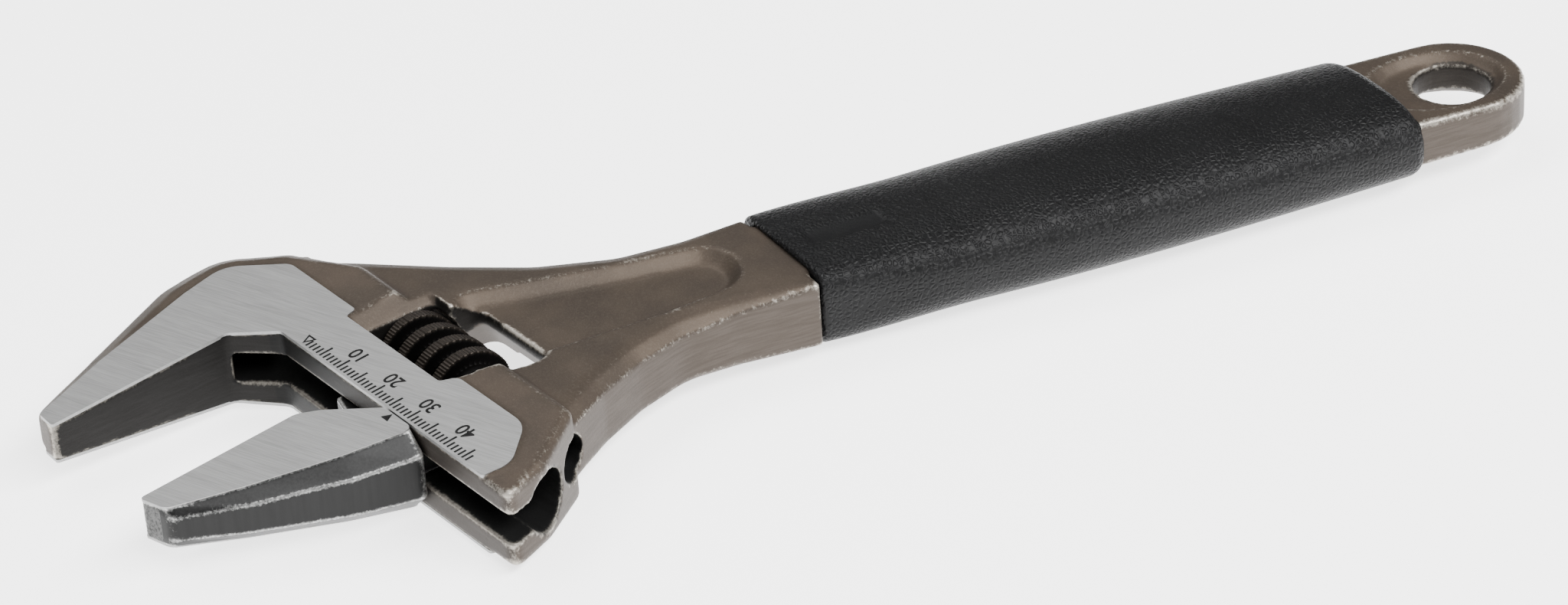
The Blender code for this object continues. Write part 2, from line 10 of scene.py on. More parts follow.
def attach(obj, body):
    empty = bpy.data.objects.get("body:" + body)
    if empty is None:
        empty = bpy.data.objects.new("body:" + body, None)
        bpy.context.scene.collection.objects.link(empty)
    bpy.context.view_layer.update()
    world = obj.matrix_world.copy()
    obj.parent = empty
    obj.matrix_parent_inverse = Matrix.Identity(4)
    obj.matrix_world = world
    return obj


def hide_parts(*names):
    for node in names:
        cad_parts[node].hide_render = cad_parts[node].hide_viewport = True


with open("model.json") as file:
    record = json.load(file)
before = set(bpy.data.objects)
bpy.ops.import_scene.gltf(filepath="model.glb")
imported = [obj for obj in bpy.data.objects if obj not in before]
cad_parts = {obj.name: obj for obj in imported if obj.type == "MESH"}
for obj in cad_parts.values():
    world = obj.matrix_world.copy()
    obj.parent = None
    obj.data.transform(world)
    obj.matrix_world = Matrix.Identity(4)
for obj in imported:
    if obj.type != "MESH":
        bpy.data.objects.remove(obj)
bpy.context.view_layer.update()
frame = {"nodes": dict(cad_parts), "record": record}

mm = 0.001

# The head frame, worked out from the two joints: x opens the jaw, y runs towards the handle, z is up.
opening = 27.4  # between the jaw faces at rest
knurlMiddle = 24.3  # x of the knurl's middle
knurlY = 18.9  # y of the knurl's axis
groundHalf = 7.2  # half the thickness between the ground faces at y = 0
wedge = math.tan(math.radians(5.26))  # slope of the ground faces along y
axisSide = 19.6  # from the handle's middle line to the head frame's origin
eyeMiddle = 207.65  # p of the hang hole's middle
upwards = Vector((0.0, 0.0, 1.0))
joints = {joint["name"]: joint for joint in frame["record"]["behaviour"]["joints"]}
alongX = Vector(joints["jaw_slide"]["axis"]).normalized()
alongY = upwards.cross(alongX)
headOrigin = Vector(joints["knurl_spin"]["pos_m"]) - (alongX * knurlMiddle + alongY * knurlY) * mm
headMatrix = Matrix.Translation(headOrigin) @ Matrix((alongX, alongY, upwards)).transposed().to_4x4()
headAngle = math.atan2(alongX.x, -alongX.y)
headTurn = np.array(headMatrix)[:3, :3]
headPlace = np.array(headMatrix)[:3, 3]


# Head-frame points in mm to world points in metres: turned, then moved.
def toWorld(spots):
    return spots * mm @ headTurn.T + headPlace


# Handle coordinates (p along the handle, q sideways) to head x, y: q is counted from the head frame's
# origin, then both are turned so that p leans by headAngle from y towards x.
def toHead(p, q):
    side = q - axisSide
    x = p * math.sin(headAngle) - side * math.cos(headAngle)
    y = p * math.cos(headAngle) + side * math.sin(headAngle)
    return x, y


# New object in the scene for a mesh, curve, light or camera.
def addObject(name, data):
    item = bpy.data.objects.new(name, data)
    bpy.context.scene.collection.objects.link(item)
    return item


# Points closer than merge become one, then every face is turned outwards.
def faceOutwards(mesh, merge=0.0):
    shape = bmesh.new()
    shape.from_mesh(mesh)
    if merge:
        bmesh.ops.remove_doubles(shape, verts=shape.verts, dist=merge)
    bmesh.ops.recalc_face_normals(shape, faces=shape.faces)
    shape.to_mesh(mesh)
    shape.free()


# The mesh that an object's modifiers or letters give.
def finishedMesh(item):
    bpy.context.view_layer.update()
    graph = bpy.context.evaluated_depsgraph_get()
    return bpy.data.meshes.new_from_object(item.evaluated_get(graph))


# Closed surface from head-frame points in mm.
def meshObject(name, points, faces, smooth=True):
    mesh = bpy.data.meshes.new(name)
    spots = toWorld(np.asarray(points, dtype=float))
    mesh.from_pydata(spots.tolist(), [], [tuple(face) for face in faces])
    mesh.update()
    item = addObject(name, mesh)
    faceOutwards(mesh)
    if smooth:
        mesh.shade_smooth()
    return item


# Quads of a grid of rows x columns points, closed round the columns and, if asked, round the rows.
def gridFaces(rows, columns, closedRows=False):
    row = np.arange(rows if closedRows else rows - 1)
    column = np.arange(columns)
    r, c = np.meshgrid(row, column, indexing="ij")
    nextRow = (r + 1) % rows
    nextColumn = (c + 1) % columns
    quads = np.stack([r * columns + c, r * columns + nextColumn,
                      nextRow * columns + nextColumn, nextRow * columns + c], axis=-1)
    return quads.reshape(-1, 4).tolist()


# The same grid closed by one flat face over its first row and one over its last.
def cappedFaces(rows, columns):
    last = (rows - 1) * columns
    faces = gridFaces(rows, columns)
    faces.append(list(range(columns)))
    faces.append(list(range(last, last + columns))[::-1])
    return faces


# The CAD node's surface, cut off by planes, rebuilt in voxels in the head frame, then smoothed.
# A smoothing step moves each point halfway to the mean of its neighbours.
def softCopy(name, node, voxel, smoothing, cuts=()):
    source = frame["nodes"][node]
    mesh = source.data.copy()
    mesh.transform(headMatrix.inverted() @ source.matrix_world)
    shape = bmesh.new()
    shape.from_mesh(mesh)
    bmesh.ops.remove_doubles(shape, verts=shape.verts, dist=1e-6)
    for place, normal in cuts:
        geometry = shape.verts[:] + shape.edges[:] + shape.faces[:]
        cut = bmesh.ops.bisect_plane(shape, geom=geometry, plane_co=place, plane_no=normal,
                                     clear_outer=True)
        edges = [part for part in cut["geom_cut"] if isinstance(part, bmesh.types.BMEdge)]
        bmesh.ops.holes_fill(shape, edges=edges)
    shape.to_mesh(mesh)
    shape.free()
    item = addObject(name, mesh)
    remesh = item.modifiers.new("remesh", "REMESH")
    remesh.mode = "VOXEL"
    remesh.voxel_size = voxel * mm
    smooth = item.modifiers.new("smooth", "SMOOTH")
    smooth.factor = 0.5
    smooth.iterations = smoothing
    done = finishedMesh(item)
    item.modifiers.clear()
    item.data = done
    done.name = name
    done.transform(headMatrix)
    done.shade_smooth()
    return item


# A value per point, kept between 0 and 1, that a material can read by its name.
def addShare(item, name, values):
    layer = item.data.attributes.new(name, "FLOAT", "POINT")
    layer.data.foreach_set("value", np.clip(values, 0.0, 1.0).astype(np.float32))


# One vector of every vertex, such as its place, as rows of an array.
def readVectors(mesh, key):
    values = np.empty(len(mesh.vertices) * 3)
    mesh.vertices.foreach_get(key, values)
    return values.reshape(-1, 3)


# Shares ridgeBend and tilt of a piece. bend = -(mean of the neighbours - point) . normal, evened out twice,
# and ridgeBend = 0.5 + bend / reach: 0.5 is flat, more is a ridge, less a groove.
# tilt = |z of the normal|: 1 on level faces, 0 on upright ones. Gives back head-frame points and normals.
def addWear(item, reach):
    mesh = item.data
    spots = readVectors(mesh, "co")
    normals = readVectors(mesh, "normal")
    edges = np.empty(len(mesh.edges) * 2, dtype=np.int64)
    mesh.edges.foreach_get("vertices", edges)
    edges = edges.reshape(-1, 2)
    degree = np.maximum(np.bincount(edges.ravel(), minlength=len(spots)), 1)

    def spread(values):
        total = np.zeros_like(values)
        np.add.at(total, edges[:, 0], values[edges[:, 1]])
        np.add.at(total, edges[:, 1], values[edges[:, 0]])
        return total / (degree[:, None] if values.ndim == 2 else degree)

    bend = -np.sum((spread(spots) - spots) * normals, axis=1)
    for _ in range(2):
        bend = 0.5 * bend + 0.5 * spread(bend)
    addShare(item, "ridgeBend", 0.5 + bend / (reach * mm))
    addShare(item, "tilt", np.abs(normals[:, 2]))
    return (spots - headPlace) @ headTurn / mm, normals @ headTurn


# A shader socket that can be used in Python expressions.
class Wire:

    def __init__(self, tree, socket):
        self.tree = tree
        self.socket = socket

    # A Math node fed by sockets or plain numbers.
    def maths(self, operation, *values):
        node = self.tree.nodes.new("ShaderNodeMath")
        node.operation = operation
        for place, value in enumerate(values):
            if isinstance(value, Wire):
                self.tree.links.new(value.socket, node.inputs[place])
            else:
                node.inputs[place].default_value = value
        return Wire(self.tree, node.outputs[0])

    def __add__(self, other):
        return self.maths("ADD", self, other)

    def __radd__(self, other):
        return self.maths("ADD", other, self)

    def __sub__(self, other):
        return self.maths("SUBTRACT", self, other)

    def __rsub__(self, other):
        return self.maths("SUBTRACT", other, self)

    def __mul__(self, other):
        return self.maths("MULTIPLY", self, other)

    def __rmul__(self, other):
        return self.maths("MULTIPLY", other, self)

    # 0 at low, 1 at high, smooth between them.
    def between(self, low, high):
        node = self.tree.nodes.new("ShaderNodeMapRange")
        node.interpolation_type = "SMOOTHSTEP"
        self.tree.links.new(self.socket, node.inputs["Value"])
        node.inputs["From Min"].default_value = low
        node.inputs["From Max"].default_value = high
        return Wire(self.tree, node.outputs["Result"])


# One material: its nodes, and short ways to make them.
class Paint:

    def __init__(self, name):
        self.material = bpy.data.materials.new(name)
        self.material.use_nodes = True
        self.tree = self.material.node_tree
        self.shader = self.tree.nodes["Principled BSDF"]

    # Any other node: its settings first, then the values or links of its sockets.
    def node(self, kind, settings=None, inputs=None, output=0):
        made = self.tree.nodes.new(kind)
        for key, value in (settings or {}).items():
            setattr(made, key, value)
        for key, value in (inputs or {}).items():
            if isinstance(value, Wire):
                self.tree.links.new(value.socket, made.inputs[key])
            else:
                made.inputs[key].default_value = value
        return Wire(self.tree, made.outputs[output])

    def attribute(self, name):
        return self.node("ShaderNodeAttribute", {"attribute_name": name}, None, "Fac")

    # Object coordinates turned to the head's directions and on by turn about z, in mm times scale.
    def place(self, turn=0.0, scale=(1.0, 1.0, 1.0)):
        spot = self.node("ShaderNodeTexCoord", None, None, "Object")
        settings = {"vector_type": "POINT"}
        spin = {"Vector": spot, "Rotation": (0.0, 0.0, math.pi / 2.0 - headAngle - turn)}
        turned = self.node("ShaderNodeMapping", settings, spin)
        stretch = {"Vector": turned, "Scale": tuple(share / mm for share in scale)}
        return self.node("ShaderNodeMapping", settings, stretch)

    def noise(self, spot, scale, detail=3.0, rough=0.55):
        inputs = {"Vector": spot, "Scale": scale, "Detail": detail, "Roughness": rough}
        return self.node("ShaderNodeTexNoise", None, inputs, "Fac")

    # The first colour where share is 0, the second where it is 1.
    def mix(self, share, one, two):
        made = self.tree.nodes.new("ShaderNodeMix")
        made.data_type = "RGBA"
        for place, value in ((0, share), (6, one), (7, two)):
            if isinstance(value, Wire):
                self.tree.links.new(value.socket, made.inputs[place])
            elif place == 0:
                made.inputs[place].default_value = value
            else:
                made.inputs[place].default_value = (*value, 1.0)
        return Wire(self.tree, made.outputs[2])

    def bump(self, height, strength, distance):
        inputs = {"Height": height, "Strength": strength, "Distance": distance * mm}
        return self.node("ShaderNodeBump", None, inputs, "Normal")

    # Sets or links the shader's own sockets.
    def finish(self, **values):
        names = {"colour": "Base Color", "roughness": "Roughness", "metallic": "Metallic", "normal": "Normal",
                 "specular": "Specular IOR Level", "glow": "Emission Strength"}
        for key, value in values.items():
            socket = self.shader.inputs[names[key]]
            if isinstance(value, Wire):
                self.tree.links.new(value.socket, socket)
            else:
                socket.default_value = value
        return self.material


forgedSettings = {
    "brown": (0.066, 0.051, 0.039), "dark": (0.048, 0.038, 0.030), "fleck": (0.13, 0.11, 0.09),
    "side": (0.068, 0.057, 0.049), "sideDark": (0.054, 0.045, 0.038), "wornAndHighlight": (0.42, 0.39, 0.34),
    "inside": (0.008, 0.0078, 0.0075), "insidePale": (0.016, 0.016, 0.016)}


# Brown-grey forged skin, streaked on upright sides, near black with painted shade in the holes and recesses,
# and with ridges worn to bare steel that are also painted bright as a highlight.
def forgedSteel():
    s = forgedSettings
    paint = Paint("forgedSteel")
    spot = paint.place()
    cloud = paint.noise(spot, 0.09)
    grain = paint.noise(spot, 2.6, 4.0, 0.7)
    speck = paint.noise(spot, 1.3, 5.0, 0.75)
    ridge = paint.attribute("ridgeBend")
    tilt = paint.attribute("tilt")
    skin = paint.mix(cloud.between(0.3, 0.7), s["dark"], s["brown"])
    skin = paint.mix(grain.between(0.45, 0.8) * 0.3, skin, s["fleck"])
    side = 1.0 - tilt.between(0.25, 0.62)
    streak = paint.noise(paint.place(0.3, (0.15, 0.15, 2.0)), 1.0)
    skin = paint.mix(side, skin, paint.mix(streak.between(0.3, 0.7), s["sideDark"], s["side"]))
    # Painted shade: near black, streaked, in the holes, slot, bore and window and along the slide face; also
    # darker jaw and throat faces.
    inside = paint.attribute("inside")
    skin = paint.mix(inside, skin, paint.mix(streak, s["inside"], s["insidePale"]))
    # Ridges worn to bare steel, also painted bright as the highlight that edges catch.
    wornAndHighlight = (ridge + (speck - 0.5) * 0.6).between(0.62, 0.9) * (1.0 - inside * 0.6)
    rough = 0.5 - wornAndHighlight * 0.2 + (grain - 0.5) * 0.14
    return paint.finish(colour=paint.mix(wornAndHighlight, skin, s["wornAndHighlight"]), roughness=rough, metallic=0.55 + side * 0.25,
                        specular=0.2, normal=paint.bump(grain * 0.6 + speck * 0.5, 0.35, 0.12))


groundSettings = {"dark": (0.21, 0.21, 0.208), "pale": (0.32, 0.32, 0.316), "sheenBand": (0.36, 0.36, 0.357),
                  "scratchTurn": math.radians(18.0)}


# Surface-ground steel: fine parallel scratches, at scratchTurn to the slide, over broad paler bands of
# painted sheen.
def groundSteel():
    s = groundSettings
    paint = Paint("groundSteel")
    lines = paint.noise(paint.place(s["scratchTurn"], (0.05, 4.2, 4.2)), 1.0, 3.0, 0.7)
    sheenPatches = paint.noise(paint.place(s["scratchTurn"], (0.02, 0.9, 0.9)), 1.0, 2.0)
    colour = paint.mix(lines.between(0.25, 0.75), s["dark"], s["pale"])
    # Painted sheen: broad paler bands along the scratches.
    colour = paint.mix(sheenPatches.between(0.3, 0.7) * 0.3, colour, s["sheenBand"])
    return paint.finish(colour=colour, roughness=0.36 + lines * 0.14, metallic=0.85,
                        normal=paint.bump(lines, 0.3, 0.05))


jawSteelSettings = {
    "skin": (0.010, 0.010, 0.010), "skinPale": (0.017, 0.017, 0.017), "flank": (0.012, 0.012, 0.012),
    "flankPale": (0.0145, 0.0145, 0.0145), "tip": (0.075, 0.075, 0.073), "wornAndHighlight": (0.5, 0.5, 0.49)}


# Dark satin flanks with upright streaks, a paler tip, and worn ridges painted bright as a highlight.
def jawSteel():
    s = jawSteelSettings
    paint = Paint("jawSteel")
    grain = paint.noise(paint.place(), 2.2, 4.0, 0.7)
    streak = paint.noise(paint.place(0.0, (1.2, 1.2, 0.08)), 1.0, 3.0)
    side = 1.0 - paint.attribute("tilt").between(0.2, 0.6)
    skin = paint.mix(grain.between(0.3, 0.75), s["skin"], s["skinPale"])
    skin = paint.mix(side, skin, paint.mix(streak.between(0.2, 0.8), s["flank"], s["flankPale"]))
    skin = paint.mix(paint.attribute("tip") * grain.between(0.35, 0.6), skin, s["tip"])
    # Worn ridges, painted bright as the highlight along the ridge line.
    wornAndHighlight = (paint.attribute("ridgeBend") + (grain - 0.5) * 0.16).between(0.54, 0.66)
    rough = 0.42 - wornAndHighlight * 0.15 + (grain - 0.5) * 0.12
    return paint.finish(colour=paint.mix(wornAndHighlight, skin, s["wornAndHighlight"]), roughness=rough, metallic=0.8,
                        normal=paint.bump(grain, 0.12, 0.06))


knurlSteelSettings = {"dark": (0.0028, 0.0024, 0.0022), "glint": (0.028, 0.023, 0.019)}


# Oiled black steel with bronze glints on the crests.
def knurlSteel():
    paint = Paint("knurlSteel")
    grain = paint.noise(paint.place(), 1.6, 4.0, 0.7)
    shine = (paint.attribute("crest") + (grain - 0.5) * 0.5).between(0.55, 1.0)
    colour = paint.mix(shine, knurlSteelSettings["dark"], knurlSteelSettings["glint"])
    return paint.finish(colour=colour, roughness=0.5 - shine * 0.18, metallic=0.75, specular=0.2,
                        normal=paint.bump(grain, 0.3, 0.08))


brightSettings = {"stain": (0.12, 0.12, 0.12), "clean": (0.26, 0.26, 0.265)}


# Turned bright steel with fine rings along x and a little stain.
def brightSteel():
    paint = Paint("brightSteel")
    rings = paint.noise(paint.place(0.0, (3.0, 0.2, 0.2)), 1.0, 3.0)
    stain = paint.noise(paint.place(), 0.4)
    colour = paint.mix(stain.between(0.3, 0.7), brightSettings["stain"], brightSettings["clean"])
    return paint.finish(colour=colour, roughness=0.25 + rings * 0.2, metallic=0.9,
                        normal=paint.bump(rings, 0.2, 0.05))


rubberSettings = {"black": (0.002, 0.002, 0.0022), "pale": (0.0045, 0.0045, 0.0048), "cells": 1.15}


# Black soft plastic with a leather grain: small cells with raised middles, but none on the plain badge.
def gripRubber():
    s = rubberSettings
    paint = Paint("gripRubber")
    spot = paint.place()
    cells = paint.node("ShaderNodeTexVoronoi", {"feature": "DISTANCE_TO_EDGE"},
                       {"Vector": spot, "Scale": s["cells"], "Randomness": 1.0}, "Distance")
    fine = paint.noise(spot, 2.2, 3.0, 0.6)
    cloud = paint.noise(spot, 0.05)
    height = cells.between(0.0, 0.35) * (1.0 - paint.attribute("plain")) + fine * 0.25
    colour = paint.mix(cloud.between(0.3, 0.7), s["black"], s["pale"])
    return paint.finish(colour=colour, roughness=0.38 + fine * 0.12, metallic=0.0, specular=0.15,
                        normal=paint.bump(height, 0.8, 0.13))


inkSettings = {"black": (0.004, 0.004, 0.004), "pale": (0.016, 0.016, 0.016)}


# Burnt-in dark marking, a little uneven.
def inkBlack():
    paint = Paint("inkBlack")
    patch = paint.noise(paint.place(), 2.0, 3.0)
    colour = paint.mix(patch.between(0.35, 0.75), inkSettings["black"], inkSettings["pale"])
    return paint.finish(colour=colour, roughness=0.6 + patch * 0.2, metallic=0.0, specular=0.1)


paperSettings = {"grey": (0.97, 0.97, 0.97), "white": (0.98, 0.98, 0.98), "glow": 2.2}


# White paper that also gives off light, so that it stays pale under dim lamps.
def floorPaper():
    s = paperSettings
    paint = Paint("floorPaper")
    colour = paint.mix(paint.noise(paint.place(), 0.01), s["grey"], s["white"])
    paint.shader.inputs["Emission Color"].default_value = (1.0, 1.0, 1.0, 1.0)
    return paint.finish(colour=colour, roughness=0.9, metallic=0.0, specular=0.0, glow=s["glow"])


# Gives a finished piece its material, hides the CAD nodes that it stands for and gives it its body; slotName
# is not used.
def wearIt(item, material, body, slotName, *nodes):
    item.data.materials.clear()
    item.data.materials.append(material)
    if nodes:
        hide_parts(*nodes)
    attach(item, body)


# Painted shade inside the body: its holes, slot, bore, window and slide face, and darker jaw and throat
# faces; spans and radii in mm, and how dark each is.
insideSettings = {
    "faceTop": -1.0, "faceEnd": 10.0, "throatSpan": (-8.0, 1.0), "throatEnd": 7.0, "faceDark": 0.95,
    "slideTop": 1.5, "slideStart": 5.0, "paleStart": 20.0, "paleLength": 55.0, "paleLeast": 0.45,
    "boreY": 9.28, "boreRadius": 5.3, "slotHalf": 2.95, "slotX": (-12.0, 71.0), "slotY": (-6.2, 6.0),
    "windowX": (12.5, 43.5), "windowY": (9.5, 30.5), "windowDark": 0.85,
    "pinRadius": 3.7, "pinStart": 40.0, "eyeRadius": 7.3, "eyeDark": 0.7}


# True where a value lies between the two ends of a span.
def within(values, span):
    return (values > span[0]) & (values < span[1])


# Distance from the middle of the hang hole, seen from above: toHead turned back, then sqrt(dp^2 + q^2).
def eyeDistance(x, y):
    p = x * math.sin(headAngle) + y * math.cos(headAngle)
    q = y * math.sin(headAngle) - x * math.cos(headAngle) + axisSide
    return np.hypot(p - eyeMiddle, q)


# How much painted shade each point of the body gets: the darkest of the places that it lies in. Each place is
# a box or a cylinder in the head frame, and some ask which way the surface looks. The slide face's painted
# shade pales towards the ear.
def bodyInside(spots, normals):
    s = insideSettings
    x, y, z = spots.T
    nx, ny, nz = normals.T
    jawFace = (nx > 0.4) & (y < s["faceTop"]) & (x < s["faceEnd"])
    throat = (ny < -0.3) & within(y, s["throatSpan"]) & (x < s["throatEnd"])
    slide = (ny < -0.5) & (y < s["slideTop"]) & (x >= s["slideStart"])
    pale = np.clip(1.0 - (x - s["paleStart"]) / s["paleLength"], s["paleLeast"], 1.0)
    bore = np.hypot(y - s["boreY"], z) < s["boreRadius"]
    slot = (np.abs(z) < s["slotHalf"]) & within(y, s["slotY"]) & within(x, s["slotX"])
    window = within(x, s["windowX"]) & within(y, s["windowY"]) & (np.abs(nz) < 0.45)
    pinHole = (np.hypot(y - knurlY, z) < s["pinRadius"]) & (x > s["pinStart"])
    eyeHole = eyeDistance(x, y) < s["eyeRadius"]
    return np.maximum.reduce([(jawFace | throat) * s["faceDark"], slide * pale, (bore | slot | pinHole) * 1.0,
                              window * s["windowDark"], eyeHole * s["eyeDark"]])


bodySettings = {"headVoxel": 0.46, "eyeVoxel": 0.55, "headCut": 88.0, "eyeCut": 188.0, "smoothing": 3,
                "bendReach": 0.16}


# Plane square to the handle at p; what lies beyond it, forwards or backwards, is cut away.
def planeAcross(p, direction):
    x, y = toHead(p, 0.0)
    normal = Vector((math.sin(headAngle), math.cos(headAngle), 0.0)) * direction
    return Vector((x, y, 0.0)) * mm, normal


# Head and neck, then the eye; the tang between them stays hidden in the sleeve.
def buildBody(forged):
    s = bodySettings
    headEnd = planeAcross(s["headCut"], 1)
    eyeStart = planeAcross(s["eyeCut"], -1)
    head = softCopy("bodyHead", "body", s["headVoxel"], s["smoothing"], [headEnd])
    eye = softCopy("bodyEye", "body", s["eyeVoxel"], s["smoothing"], [eyeStart])
    for item in (head, eye):
        spots, normals = addWear(item, s["bendReach"])
        # The body's painted shade in its holes and recesses, read by the material.
        addShare(item, "inside", bodyInside(spots, normals))
        wearIt(item, forged, "wrench_body", "forged_steel", "body")


# Outline with each corner (x, y, radius) turned into a curve (1-t)^2 start + 2t(1-t) corner + t^2 end.
# Start and end lie radius / tan(half the corner's angle) away, but less than half of either side.
def roundedOutline(corners, steps=12):
    points = []
    for index, (x, y, radius) in enumerate(corners):
        here = np.array((x, y))
        before = np.array(corners[index - 1][:2]) - here
        after = np.array(corners[(index + 1) % len(corners)][:2]) - here
        longBefore = np.linalg.norm(before)
        longAfter = np.linalg.norm(after)
        cosine = before @ after / longBefore / longAfter
        half = math.acos(max(min(cosine, 1.0), -1.0)) / 2.0
        reach = min(radius / math.tan(half), 0.48 * longBefore, 0.48 * longAfter)
        start = here + before / longBefore * reach
        end = here + after / longAfter * reach
        t = np.linspace(0.0, 1.0, steps)[:, None]
        points.append(start * (1 - t) ** 2 + here * 2 * t * (1 - t) + end * t ** 2)
    return np.concatenate(points)


# Thin plate whose face follows the wedge, from z = side (half - sink) to side (half + rise), where
# half = groundHalf + wedge y.
def groundPlate(name, outline, side, sink, rise):
    half = groundHalf + wedge * outline[:, 1]
    top = np.column_stack([outline, side * (half + rise)])
    bottom = np.column_stack([outline, side * (half - sink)])
    count = len(outline)
    faces = [[k, (k + 1) % count, count + (k + 1) % count, count + k] for k in range(count)]
    faces.append(list(range(count))[::-1])
    faces.append(list(range(count, 2 * count)))
    return meshObject(name, np.concatenate([bottom, top]), faces, smooth=False)


# Corners of the ground face are (x, y, radius).
rulerSettings = {"sink": 0.5, "rise": 0.05, "corners": [
    (0.0, -39.4, 0.5), (0.0, -6.4, 2.0), (6.4, 0.0, 2.0), (63.2, 0.0, 0.6), (64.0, 5.0, 6.0),
    (57.2, 12.3, 6.0), (39.0, 12.3, 2.0), (37.5, 9.6, 1.0), (11.0, 9.6, 0.8), (10.6, 11.7, 0.8),
    (-8.6, 11.7, 3.0), (-16.6, 3.6, 6.0), (-15.0, -5.0, 12.0), (-9.4, -24.4, 12.0), (-4.2, -39.2, 1.0)]}


# The ruler's two ground faces: one outline, above and below.
def buildGroundFaces(ground):
    s = rulerSettings
    outline = roundedOutline(s["corners"])
    for name, side in (("rulerFaceTop", 1), ("rulerFaceBottom", -1)):
        plate = groundPlate(name, outline, side, s["sink"], s["rise"])
        wearIt(plate, ground, "wrench_body", "ground_steel")


markSettings = {
    "start": 11.93, "end": 46, "foot": 0.51, "short": 1.55, "long": 2.6, "wide": 0.42, "lift": 0.075,
    "sink": 0.1, "triangleFoot": 0.5, "triangleTop": 2.6, "triangleHalf": 1.1, "triangleHole": 0.55,
    "pointerX": 11.9, "pointerTop": -0.45, "pointerFoot": -2.1, "pointerHalf": 0.95,
    "numerals": (10, 20, 30, 40), "numeralSize": 3.6, "numeralFoot": 3.5, "numeralTall": 0.7,
    "numeralLift": 0.08, "numeralBold": 0.05}


# Flat outlines as thin closed tiles, each from sink under the upper ground face to lift over it.
def extruded(name, outlines):
    points = []
    faces = []
    for outline in outlines:
        start = sum(len(part) for part in points)
        outline = np.asarray(outline, dtype=float)
        count = len(outline)
        half = groundHalf + wedge * outline[:, 1]
        points.append(np.column_stack([outline, half + markSettings["lift"]]))
        points.append(np.column_stack([outline, half - markSettings["sink"]]))
        faces.append([start + k for k in range(count)])
        faces.append([start + count + k for k in range(count)][::-1])
        for k in range(count):
            following = (k + 1) % count
            faces.append([start + k, start + count + k, start + count + following, start + following])
    return meshObject(name, np.concatenate(points), faces, smooth=False)


# One tick for each millimetre, long at every fifth, and a hollow triangle at zero made of three strips.
def buildTicks(ink):
    s = markSettings
    half = s["wide"] / 2.0
    tiles = []
    for mark in range(1, s["end"] + 1):
        x = s["start"] + mark
        foot = s["foot"]
        top = foot + (s["long"] if mark % 5 == 0 else s["short"])
        tiles.append([(x - half, foot), (x + half, foot), (x + half, top), (x - half, top)])
    x = s["start"]
    outer = np.array([(x, s["triangleFoot"]), (x + s["triangleHalf"], s["triangleTop"]),
                      (x - s["triangleHalf"], s["triangleTop"])])
    middle = outer.mean(axis=0)
    inner = middle + (outer - middle) * s["triangleHole"]
    for k in range(3):
        following = (k + 1) % 3
        tiles.append([outer[k], outer[following], inner[following], inner[k]])
    wearIt(extruded("scaleTicks", tiles), ink, "wrench_body", "dark_steel")


# Letters laid on the sloping ground face after half a turn about z: x and y both run backwards.
def buildNumeral(number, ink):
    s = markSettings
    name = "numeral%d" % number
    curve = bpy.data.curves.new(name, "FONT")
    curve.body = str(number)
    curve.size = s["numeralSize"]
    curve.align_x = "CENTER"
    curve.extrude = s["numeralLift"]
    curve.offset = s["numeralBold"]
    curve.resolution_u = 4
    letters = addObject(name, curve)
    mesh = finishedMesh(letters)
    bpy.data.objects.remove(letters, do_unlink=True)
    spots = readVectors(mesh, "co")
    x = s["start"] + number - spots[:, 0]
    y = s["numeralFoot"] + s["numeralSize"] * s["numeralTall"] - spots[:, 1]
    z = groundHalf + wedge * y + spots[:, 2]
    mesh.vertices.foreach_set("co", toWorld(np.column_stack([x, y, z])).ravel())
    faceOutwards(mesh, 1e-7)
    wearIt(addObject(name, mesh), ink, "wrench_body", "dark_steel")


# The scale on the ruler, the jaw's pointer, then the numerals.
def buildMarks(ink):
    s = markSettings
    buildTicks(ink)
    x = opening + s["pointerX"]
    pointer = [(x, s["pointerTop"]), (x + s["pointerHalf"], s["pointerFoot"]),
               (x - s["pointerHalf"], s["pointerFoot"])]
    wearIt(extruded("jawPointer", [pointer]), ink, "jaw", "dark_steel")
    for number in s["numerals"]:
        buildNumeral(number, ink)


# Corners of the ground faces are (x from the jaw face, y, radius).
jawSettings = {"voxel": 0.25, "smoothing": 16, "bendReach": 0.1, "tipY": -39.0, "sink": 0.4, "rise": 0.05,
               "corners": [(0.0, -40.0, 0.8), (0.0, -11.0, 2.5), (2.2, -7.6, 3.0), (9.4, -0.3, 0.4),
                           (17.4, -0.3, 1.4), (14.8, -12.0, 12.0), (9.9, -27.0, 12.0), (5.4, -38.5, 2.5)]}


# The jaw with its tip end marked, where the surface looks along -y, and its two ground faces.
def buildJaw(steel, ground):
    s = jawSettings
    jaw = softCopy("slidingJaw", "movable_jaw", s["voxel"], s["smoothing"])
    spots, normals = addWear(jaw, s["bendReach"])
    addShare(jaw, "tip", (normals[:, 1] < -0.6) & (spots[:, 1] < s["tipY"]))
    wearIt(jaw, steel, "jaw", "ground_steel", "movable_jaw")
    outline = roundedOutline([(opening + x, y, radius) for x, y, radius in s["corners"]])
    for name, side in (("jawFaceTop", 1), ("jawFaceBottom", -1)):
        plate = groundPlate(name, outline, side, s["sink"], s["rise"])
        wearIt(plate, ground, "jaw", "ground_steel")


knurlSettings = {"radius": 6.9, "depth": 2.1, "pitch": 4.95, "crest": 1.9, "root": 2.0, "first": 0.95,
                 "length": 20.0, "hole": 2.5, "teeth": 78, "toothDepth": 0.11, "endStep": 0.2,
                 "endSlope": 1.6, "rows": 150, "columns": 496, "sharpAngle": 50}


# Share of the thread depth at a phase counted in pitches: 1 on the crest, 0 in the root, and
# 3 u^2 - 2 u^3 up the flank between them.
def threadShape(phase):
    s = knurlSettings
    away = np.abs((phase + 0.5) % 1.0 - 0.5) * s["pitch"]
    flank = (s["pitch"] - s["crest"] - s["root"]) / 2.0
    share = np.clip(1.0 - (away - s["crest"] / 2.0) / flank, 0.0, 1.0)
    return share * share * (3.0 - 2.0 * share)


